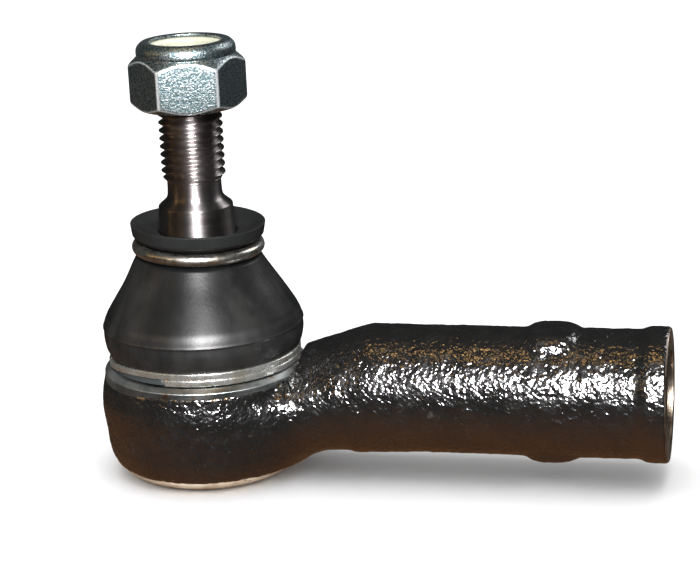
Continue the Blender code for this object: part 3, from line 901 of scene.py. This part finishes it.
def make_bore(material):
    """Threaded tube in the shank, made about Z from 0 at the mouth inwards."""
    steps = 112
    inner_r = BORE_MAJOR_R - BORE_THREAD_DEPTH
    wall_r = BORE_MAJOR_R + BORE_WALL
    heights = np.arange(0.6, BORE_LENGTH, 0.12)
    wall = [(wall_r, 0.35), (BORE_MOUTH_R + 0.05, 0.3)]
    rows = [np.array(wall)]
    rows.append(np.stack([np.full(len(heights), inner_r), heights], -1))
    rows.append(np.array([(inner_r, BORE_LENGTH), (0.0, BORE_LENGTH + 4.0)]))
    outline = np.concatenate(rows)
    points, turn = spun_points(outline, steps)
    radius = np.hypot(points[..., 0], points[..., 1])
    z = points[..., 2]
    along = z + BORE_PITCH * turn[None, :] / (2.0 * math.pi)
    cut = inner_r + BORE_THREAD_DEPTH * thread_share(along, BORE_PITCH)
    run_out = np.clip((BORE_LENGTH - BORE_RUN_OUT - z) / 2.0, 0.0, 1.0)
    cut = inner_r + (cut - inner_r) * run_out
    mouth = BORE_MOUTH_R - np.maximum(z - 0.3, 0.0)
    threaded = np.maximum(cut, mouth)
    inside = (np.abs(radius - inner_r) < 0.001) & (z < BORE_LENGTH)
    set_radius(points, np.where(inside, threaded, radius), turn)
    points[..., 2] = SHANK_END - z
    faces = grid_faces(len(outline), steps, False, True)
    obj = add_piece("threaded_bore", points.reshape(-1, 3), faces, material, 50.0)
    point_along_x(obj)
    return obj


def make_end_face(material):
    outline = filleted(
        [
            (BORE_MOUTH_R + 0.1, SHANK_END - 0.35),
            (BORE_MOUTH_R + 0.1, SHANK_END, 0.08),
            (END_COLLAR_R - 0.25, SHANK_END, 0.12),
            (END_COLLAR_R - 0.12, SHANK_END - 0.35, 0.1),
            (END_COLLAR_R - 0.7, SHANK_END - 0.9),
            (BORE_MOUTH_R + 0.1, SHANK_END - 0.9),
        ]
    )
    obj = turned_piece("machined_end_face", outline, 144, material)
    point_along_x(obj)
    return obj


# ------------------------------------------------------------------ ball stud


def stud_blank():
    """Outlines of the ball and of the shaft above it, before the thread is cut."""
    start = -math.acos(BALL_FLAT_R / BALL_R)
    end = math.acos(NECK_R / BALL_R)
    angles = np.linspace(start, end, 28)
    ball = [(BALL_R * math.cos(a), BALL_Z + BALL_R * math.sin(a)) for a in angles]
    shaft = filleted(
        [
            ball[-1],
            (NECK_R, 28.5, 2.0),
            (CONE_LOW_R, 33.0, 1.5),
            (6.93, 51.0, 0.12),
            (6.75, 51.25, 0.3),
            (5.15, 52.55, 1.6),
            (UNDERCUT_R, 54.4, 0.5),
            (UNDERCUT_R, 55.8, 0.2),
            (STUD_BLANK_R, 56.8, 0.15),
            (STUD_BLANK_R, STUD_TOP - 1.1, 0.2),
            (4.9, STUD_TOP, 0.15),
            (0.0, STUD_TOP),
        ],
        closed=False,
    )
    start_point = np.array([(0.0, ball[0][1])])
    lower = np.concatenate([start_point, np.array(ball[:-1])])
    return lower, shaft


def make_stud(material):
    lower, shaft = stud_blank()
    below = shaft[shaft[:, 1] < STUD_FINE_LOW_Z]
    above = resampled(shaft[shaft[:, 1] >= STUD_FINE_LOW_Z], 0.085)
    outline = np.concatenate([lower, resampled(below, 1.0), above])
    steps = 144
    points, turn = spun_points(outline, steps)
    radius = np.hypot(points[..., 0], points[..., 1])
    z = points[..., 2]
    along = z - STUD_PITCH * turn[None, :] / (2.0 * math.pi)
    cut = STUD_THREAD_DEPTH * thread_share(along + STUD_THREAD_START, STUD_PITCH)
    threaded = (z > STUD_THREAD_LOW_Z) & (z < STUD_TOP - 0.01)
    thread_radius = np.minimum(radius, STUD_MAJOR_R - cut)
    set_radius(points, np.where(threaded, thread_radius, radius), turn)
    faces = grid_faces(len(outline), steps, False, True)
    return add_piece("turned_stud", points.reshape(-1, 3), faces, material, 50.0)


# ------------------------------------------------------------------- lock nut


def hex_radius(turn):
    """Distance to the flats, with the corners eased."""
    sixth = math.radians(60.0)
    from_flat = np.mod(turn - NUT_FLAT_ANGLE + sixth / 2.0, sixth) - sixth / 2.0
    here = NUT_FLAT_R / np.cos(from_flat)
    other = NUT_FLAT_R / np.cos(sixth - np.abs(from_flat))
    return smooth_min(here, other, NUT_CORNER_EASE)


def nut_outline(reach):
    """The nut's closed outline at a turn where the hexagon reaches this far out."""
    flat_r = NUT_CHAMFER_R
    hex_top = NUT_TOP - NUT_COLLAR_HEIGHT
    drop = (reach - flat_r) * math.tan(NUT_CHAMFER)
    low_drop = drop * 0.8
    return filleted(
        [
            (NUT_BORE_R, NUT_TOP - NUT_POCKET_DEPTH, 0.1),
            (NUT_BORE_R, NUT_LOW + 0.75, 0.1),
            (6.8, NUT_LOW, 0.1),
            (flat_r, NUT_LOW, 0.3),
            (reach, NUT_LOW + low_drop + 0.15, 0.5),
            (reach, hex_top - drop - 0.15, 0.55),
            (flat_r + 0.12, hex_top - 0.05, 0.2),
            (flat_r - 0.12, hex_top + 0.1, 0.1),
            (flat_r + 0.02, hex_top + 0.55, 0.35),
            (flat_r - 0.05, NUT_TOP - 1.0, 0.9),
            (flat_r - 0.95, NUT_TOP - 0.12, 0.5),
            (7.6, NUT_TOP, 0.6),
            (NUT_RIM_HOLE_R, NUT_TOP - 0.08, 0.3),
            (NUT_RIM_HOLE_R, NUT_TOP - 0.6, 0.1),
            (NUT_POCKET_R, NUT_TOP - 0.7, 0.1),
            (NUT_POCKET_R, NUT_TOP - NUT_POCKET_DEPTH, 0.1),
        ]
    )


def painted_edge_highlights(outline, reach, corner_reach):
    """Painted highlight: 1 on the hexagon's rounded borders and upright edges, 0 elsewhere."""
    hex_top = NUT_TOP - NUT_COLLAR_HEIGHT
    on_face = np.abs(outline[:, 1] - (NUT_LOW + hex_top) / 2.0) < (hex_top - NUT_LOW) / 2.0
    on_face &= outline[:, 0] > NUT_CHAMFER_R - 0.02
    from_face = (reach - outline[:, 0]) / EDGE_HIGHLIGHT_WIDTH
    rounding = np.clip(from_face, 0.0, 1.0) * np.clip(2.0 - from_face, 0.0, 1.0)
    at_corner = np.clip((reach - (corner_reach - 0.05)) / 0.04, 0.0, 1.0)
    return on_face * np.maximum(rounding, at_corner * (from_face < 1.0))


def make_nut(material):
    steps = 432
    turns = np.linspace(0.0, 2.0 * math.pi, steps, endpoint=False)
    columns = []
    marks = []
    reaches = hex_radius(turns)
    corner_reach = reaches.max()
    for turn, reach in zip(turns, reaches):
        outline = nut_outline(reach)
        x = outline[:, 0] * math.cos(turn)
        y = outline[:, 0] * math.sin(turn)
        columns.append(np.stack([x, y, outline[:, 1]], -1))
        marks.append(painted_edge_highlights(outline, reach, corner_reach))
    points = np.stack(columns, 0)
    marks = np.concatenate(marks)
    faces = grid_faces(steps, points.shape[1], True, True)
    return add_piece("hexagon_lock_nut", points.reshape(-1, 3), faces, material, 35.0, marks)


def make_insert(material):
    outline = filleted(
        [
            (INSERT_R, NUT_TOP - 0.75, 0.1),
            (6.95, NUT_TOP - 0.68, 0.1),
            (6.35, NUT_TOP - 0.85, 0.2),
            (INSERT_BORE_R, NUT_TOP - 1.35, 0.12),
            (INSERT_BORE_R, NUT_TOP - INSERT_DEPTH, 0.2),
            (INSERT_R, NUT_TOP - INSERT_DEPTH, 0.1),
        ]
    )
    return turned_piece("locking_insert", outline, 120, material)


# -------------------------------------------------------------- boot and rings


def leaned(points, share):
    """Points leaned by a share of the tilt of the boot's lip and its ring."""
    angle = LIP_TILT * share
    x = points[:, 0].copy()
    z = points[:, 2] - UPPER_RING_Z
    points[:, 0] = x * np.cos(angle) + z * np.sin(angle)
    points[:, 2] = -x * np.sin(angle) + z * np.cos(angle) + UPPER_RING_Z
    return points


def make_boot(material):
    outline = filleted(
        [
            (7.45, 46.1, 0.15),
            (9.6, 46.55, 1.2),
            (11.95, BOOT_TOP - 0.1, 0.5),
            (12.62, BOOT_TOP - 0.15, 0.2),
            (12.28, 45.55, 0.3),
            (11.8, 45.2, 0.4),
            (11.0, 44.6, 0.4),
            (BOOT_GROOVE_R, 43.9, 0.4),
            (BOOT_GROOVE_R, 42.4, 0.5),
            (10.7, 41.55, 0.4),
            (11.75, 41.35, 0.5),
            (12.15, 40.6, 0.6),
            (13.95, 37.3, 3.0),
            (16.6, 33.2, 3.0),
            (17.9, 31.1, 1.4),
            (18.55, 29.75, 1.0),
            (18.82, BOOT_CREASE_Z + 0.45, 0.4),
            (18.99, BOOT_CREASE_Z + 0.14, 0.12),
            (18.82, BOOT_CREASE_Z - 0.2, 0.12),
            (18.87, 26.6, 1.4),
            (18.5, 24.6, 1.2),
            (17.95, 23.55, 0.35),
            (BOOT_FOOT_R, 23.3, 0.15),
            (BOOT_FOOT_R, LOWER_RING_FOOT + 1.3),
            (BOOT_FOOT_R, LOWER_RING_FOOT + 1.15),
            (BOOT_FOOT_R, BOOT_FOOT, 0.2),
            (BOOT_INNER_R, BOOT_FOOT, 0.2),
            (BOOT_INNER_R, 23.7, 0.4),
            (16.6, 24.8, 0.8),
            (16.95, 27.6, 1.2),
            (16.1, 30.4, 1.5),
            (12.4, 36.5, 1.5),
            (10.2, 39.9, 0.8),
            (8.6, 41.0, 0.5),
            (7.75, 41.6, 0.2),
        ],
        segments=8,
    )
    outline = resampled(outline, 0.8, True)
    steps = 168
    points, turn = spun_points(outline, steps)
    height = points[..., 2]
    radius = np.hypot(points[..., 0], points[..., 1])
    swell = fractal(points.reshape(-1, 3), 9.0, 2, 3.0).reshape(height.shape)
    swell *= np.clip((height - SWELL_LOW_Z) / SWELL_FADE, 0.0, 1.0)
    swell *= np.clip((SWELL_TOP_Z - height) / SWELL_FADE, 0.0, 1.0)
    at_foot = (height < LOWER_RING_FOOT + LOWER_WIRE_TALL) & (radius > BOOT_FOOT_R - 0.1)
    single = np.clip((turn - SINGLE_WIRE_START) / SINGLE_WIRE_FADE, 0.0, 1.0)
    single *= np.clip((SINGLE_WIRE_END - turn) / SINGLE_WIRE_FADE, 0.0, 1.0)
    offset = SWELL_HEIGHT * swell + FOOT_STEP * at_foot * single[None, :]
    points = points + outward_from(turn)[None, :, :] * offset[..., None]
    flat = points.reshape(-1, 3)
    lean = np.clip((flat[:, 2] - LEAN_LOW_Z) / (UPPER_RING_Z - LEAN_LOW_Z), 0.0, 1.0)
    flat = leaned(flat, eased(lean))
    faces = grid_faces(len(outline), steps, True, True)
    return add_piece("rubber_boot", flat, faces, material, 60.0)


def swept_piece(name, centres, sideways, upright, section, material, sharp_deg):
    """Sweep a section of (sideways, up) points along a line of centres, with flat ends."""
    rows = []
    for centre, side, up in zip(centres, sideways, upright):
        rows.append([centre + side * a + up * b for a, b in section])
    points = np.array(rows)
    count, width = points.shape[:2]
    faces = grid_faces(count, width, False, True)
    faces.append(list(range(width)))
    faces.append(list(range((count - 1) * width, count * width)))
    return add_piece(name, points.reshape(-1, 3), faces, material, sharp_deg)


def make_upper_ring(material):
    """Round wire bent to a ring, its ends butted at the back."""
    steps = 180
    gap = math.radians(1.2)
    turn = np.linspace(math.radians(100.0) + gap, math.radians(460.0) - gap, steps)
    outward = outward_from(turn)
    centres = outward * UPPER_WIRE_RING_R + np.array([0.0, 0.0, UPPER_RING_Z])
    up = np.tile(np.array([0.0, 0.0, 1.0]), (steps, 1))
    around = np.linspace(0.0, 2.0 * math.pi, 24, endpoint=False)
    section = [(UPPER_WIRE_R * math.cos(a), UPPER_WIRE_R * math.sin(a)) for a in around]
    obj = swept_piece("upper_clamp_wire", centres, outward, up, section, material, 50.0)
    move_vertices(obj.data, leaned(vertex_places(obj.data), 1.0))
    return obj


def make_lower_ring(material):
    """Flat wire wound nearly twice round the foot of the boot."""
    steps = 420
    half_wide = LOWER_WIRE_WIDE / 2.0
    half_tall = LOWER_WIRE_TALL / 2.0
    share = np.linspace(0.0, LOWER_WIRE_TURNS, steps)
    turn = LOWER_WIRE_START + 2.0 * math.pi * share
    rise = eased(np.clip((share - 0.80) / 0.17, 0.0, 1.0))
    outward = outward_from(turn)
    centres = outward * LOWER_WIRE_RING_R
    centres[:, 2] = LOWER_RING_FOOT + half_tall + LOWER_WIRE_PITCH * rise
    up = np.tile(np.array([0.0, 0.0, 1.0]), (steps, 1))
    corners = [
        (half_wide, half_tall, 0.25),
        (half_wide, -half_tall, 0.25),
        (-half_wide, -half_tall, 0.25),
        (-half_wide, half_tall, 0.25),
    ]
    section = filleted(corners, segments=4).tolist()
    return swept_piece("lower_clamp_wire", centres, outward, up, section, material, 50.0)


def make_closing_plate(material):
    plate_top = top_of("closing_plate")
    outline = filleted(
        [
            (0.0, 1.1),
            (10.0, 1.1, 0.4),
            (11.3, plate_top, 0.4),
            (13.9, plate_top, 0.15),
            (13.9, 1.35, 0.15),
            (11.7, 1.35, 0.4),
            (10.4, 0.0, 0.5),
            (0.0, 0.0),
        ],
        closed=False,
    )
    return turned_piece("pressed_plate", outline, 120, material, closed=False)


# ------------------------------------------------------------------ the pieces


def stand_for(obj, node, body):
    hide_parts(node)
    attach(obj, body)


def dress(node, material):
    obj = frame["nodes"][node]
    obj.data.materials.clear()
    obj.data.materials.append(material)


def build_pieces():
    bare_steel = bare_rim()
    stand_for(make_forging(painted_forging()), "housing", "housing")
    stand_for(make_rim(bare_steel), "housing", "housing")
    stand_for(make_base(bare_base()), "housing", "housing")
    stand_for(make_end_face(bare_end()), "housing", "housing")
    stand_for(make_bore(bore_thread_steel()), "housing", "housing")
    stand_for(make_closing_plate(pressed_plate()), "closing_plate", "housing")
    stand_for(make_stud(burnished_stud()), "ball_stud", "stud")
    stand_for(make_nut(zinc_plate()), "lock_nut", "nut")
    stand_for(make_insert(pale_nylon()), "nylon_insert", "nut_carrier")
    stand_for(make_upper_ring(ring_wire()), "boot_upper_ring", "boot_top")
    stand_for(make_lower_ring(flat_wire()), "boot_lower_ring", "boot")
    boot = make_boot(boot_rubber())
    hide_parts("dust_boot")
    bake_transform(boot)
    dress("upper_ball_seat", seat_plastic())
    dress("lower_ball_seat", seat_plastic())
    dress("preload_spring", spring_steel())


# ------------------------------------------------------------ studio and camera

CAMERA_AZIMUTH = math.radians(12.79)
CAMERA_ELEVATION = math.radians(16.32)
CAMERA_ROLL = math.radians(-2.59)
CAMERA_DISTANCE = 393.3
CAMERA_TARGET = Vector((28.69, 0.0, 35.69))
CAMERA_LENS = 109.2


def direction(azimuth, elevation):
    """Unit vector from the object: azimuth 0 is towards -Y, turning to +X."""
    return Vector(
        (
            math.sin(azimuth) * math.cos(elevation),
            -math.cos(azimuth) * math.cos(elevation),
            math.sin(elevation),
        )
    )


def make_camera():
    back = direction(CAMERA_AZIMUTH, CAMERA_ELEVATION)
    level_right = Vector((math.cos(CAMERA_AZIMUTH), math.sin(CAMERA_AZIMUTH), 0.0))
    level_up = back.cross(level_right)
    right = level_right * math.cos(CAMERA_ROLL) + level_up * math.sin(CAMERA_ROLL)
    up = level_up * math.cos(CAMERA_ROLL) - level_right * math.sin(CAMERA_ROLL)
    place = (CAMERA_TARGET + back * CAMERA_DISTANCE) * MM
    camera = bpy.data.cameras.new("camera")
    camera.lens = CAMERA_LENS
    camera.sensor_width = 36.0
    camera.clip_start = 0.01
    obj = put_in_scene("camera", camera)
    turn = Matrix((right, up, back)).transposed().to_4x4()
    obj.matrix_world = Matrix.Translation(place) @ turn
    bpy.context.scene.camera = obj


def area_light(name, place, target, width, height, power, colour):
    data = bpy.data.lights.new(name, "AREA")
    data.shape = "RECTANGLE"
    data.size = width
    data.size_y = height
    data.energy = power
    data.color = colour
    obj = put_in_scene(name, data)
    aim = (Vector(target) - Vector(place)).to_track_quat("-Z", "Y")
    obj.matrix_world = Matrix.Translation(place) @ aim.to_matrix().to_4x4()
    return obj


def lamp_from(name, side, lift, distance, width, height, power, colour, floor):
    """A lamp at an angle to the side of the view and above it, aimed at the part."""
    middle = Vector((0.03, 0.0, 0.03))
    away = direction(CAMERA_AZIMUTH + math.radians(side), math.radians(lift))
    lamp = area_light(name, middle + away * distance, middle, width, height, power, colour)
    keep_off(lamp, floor)


def make_lights(floor):
    white = (1.0, 0.985, 1.0)
    amber = (1.0, 0.58, 0.20)
    lamp_from("key", 0.0, 30.5, 0.6, 0.16, 0.23, 12.5, white, floor)
    above = (0.004, -0.075, 0.62)
    strip = area_light("warm_strip", above, (0.004, 0.0, 0.02), 0.2, 0.045, 0.24, amber)
    keep_off(strip, floor)
    lamp_from("warm_side", -84.0, 22.0, 0.6, 0.03, 0.22, 0.12, amber, floor)
    lamp_from("warm_lamp", -52.0, 28.0, 0.6, 0.05, 0.05, 0.12, amber, floor)
    lamp_from("back_fill", 124.0, 34.0, 0.8, 0.3, 0.3, 1.3, white, floor)
    soft = area_light("overhead", (0.0, 0.0, 0.9), (0.03, 0.0, 0.0), 0.9, 0.9, 5.0, white)
    soft.visible_glossy = False


def keep_off(light, receiver):
    """The light leaves this object alone."""
    group = bpy.data.collections.new(light.name + "_receivers")
    group.objects.link(receiver)
    light.light_linking.receiver_collection = group
    group.collection_objects[0].light_linking.link_state = "EXCLUDE"


def make_floor():
    mesh = bpy.data.meshes.new("floor")
    half = 4.0
    corners = [(-half, -half, 0.0), (half, -half, 0.0), (half, half, 0.0), (-half, half, 0.0)]
    mesh.from_pydata(corners, [], [(0, 1, 2, 3)])
    obj = put_in_scene("floor", mesh)
    obj.location.z = -0.0001
    material = bpy.data.materials.new("pale_floor")
    material.use_nodes = True
    shader = material.node_tree.nodes["Principled BSDF"]
    shader.inputs["Base Color"].default_value = (0.98, 0.98, 0.98, 1.0)
    shader.inputs["Roughness"].default_value = 1.0
    shader.inputs["Specular IOR Level"].default_value = 0.0
    mesh.materials.append(material)
    obj.visible_glossy = False
    return obj


def make_world():
    """White to the eye and for soft light; dark to gloss, with a warm glow from below."""
    world = bpy.data.worlds.new("studio")
    bpy.context.scene.world = world
    world.use_nodes = True
    nodes = world.node_tree.nodes
    links = world.node_tree.links
    background = nodes["Background"]
    path = nodes.new("ShaderNodeLightPath")
    place = nodes.new("ShaderNodeTexCoord")
    split = nodes.new("ShaderNodeSeparateXYZ")
    links.new(place.outputs["Generated"], split.inputs[0])
    lean = nodes.new("ShaderNodeMath")
    lean.operation = "MULTIPLY_ADD"
    lean.inputs[1].default_value = 0.15
    links.new(split.outputs["X"], lean.inputs[0])
    links.new(split.outputs["Z"], lean.inputs[2])
    low = map_range(nodes, links, lean.outputs[0], -0.3, -0.6)
    glow = nodes.new("ShaderNodeMix")
    glow.data_type = "RGBA"
    links.new(low, glow.inputs[0])
    glow.inputs[6].default_value = (0.015, 0.018, 0.017, 1.0)
    glow.inputs[7].default_value = (0.12, 0.058, 0.027, 1.0)
    pick = nodes.new("ShaderNodeMix")
    pick.data_type = "RGBA"
    links.new(path.outputs["Is Glossy Ray"], pick.inputs[0])
    pick.inputs[6].default_value = (0.95, 0.95, 0.95, 1.0)
    links.new(glow.outputs[2], pick.inputs[7])
    links.new(pick.outputs[2], background.inputs["Color"])


def map_range(nodes, links, value, low, high):
    node = nodes.new("ShaderNodeMapRange")
    node.interpolation_type = "SMOOTHSTEP"
    node.inputs["From Min"].default_value = low
    node.inputs["From Max"].default_value = high
    links.new(value, node.inputs["Value"])
    return node.outputs["Result"]


build_pieces()
make_camera()
make_lights(make_floor())
make_world()
bpy.context.scene.view_settings.view_transform = "Standard"
